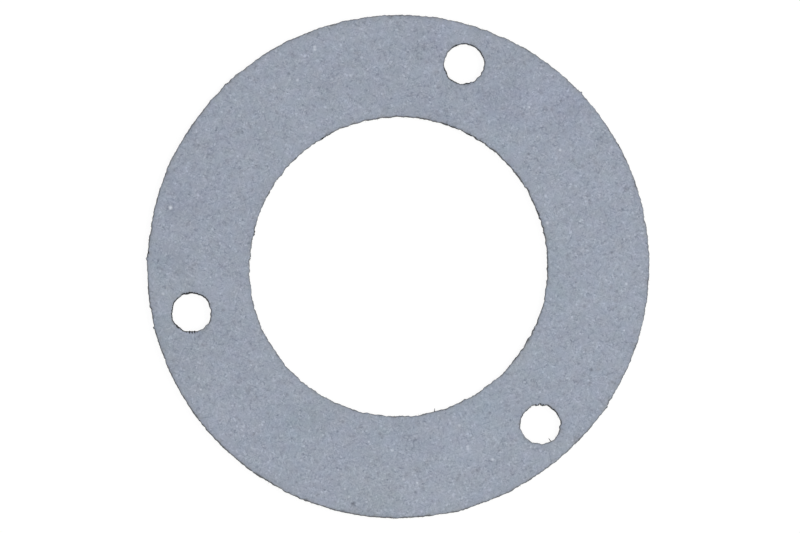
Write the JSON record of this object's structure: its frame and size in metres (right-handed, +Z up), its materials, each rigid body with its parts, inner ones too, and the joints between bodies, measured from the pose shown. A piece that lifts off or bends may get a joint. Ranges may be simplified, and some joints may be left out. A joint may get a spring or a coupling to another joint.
{
  "type": "injector seal ring",
  "caption": "Flat round gasket of blue-grey pressed fibre with a wide central opening and evenly spaced bolt holes, which seals an injector's flange.",
  "frame": {"origin": "centre of the ring on its lower face", "axes": "+Z up along the ring's axis, +Y from the centre through one bolt hole, +X to the right of it seen from above"},
  "size_m": [0.086, 0.086, 0.0015],
  "materials": {
    "fibre_sheet": "matt pressed fibre with a fine grain, light flecks and darker die-cut edges"
  },
  "bodies": {
    "root": {"gasket": "fibre_sheet"}
  },
  "joints": []
}
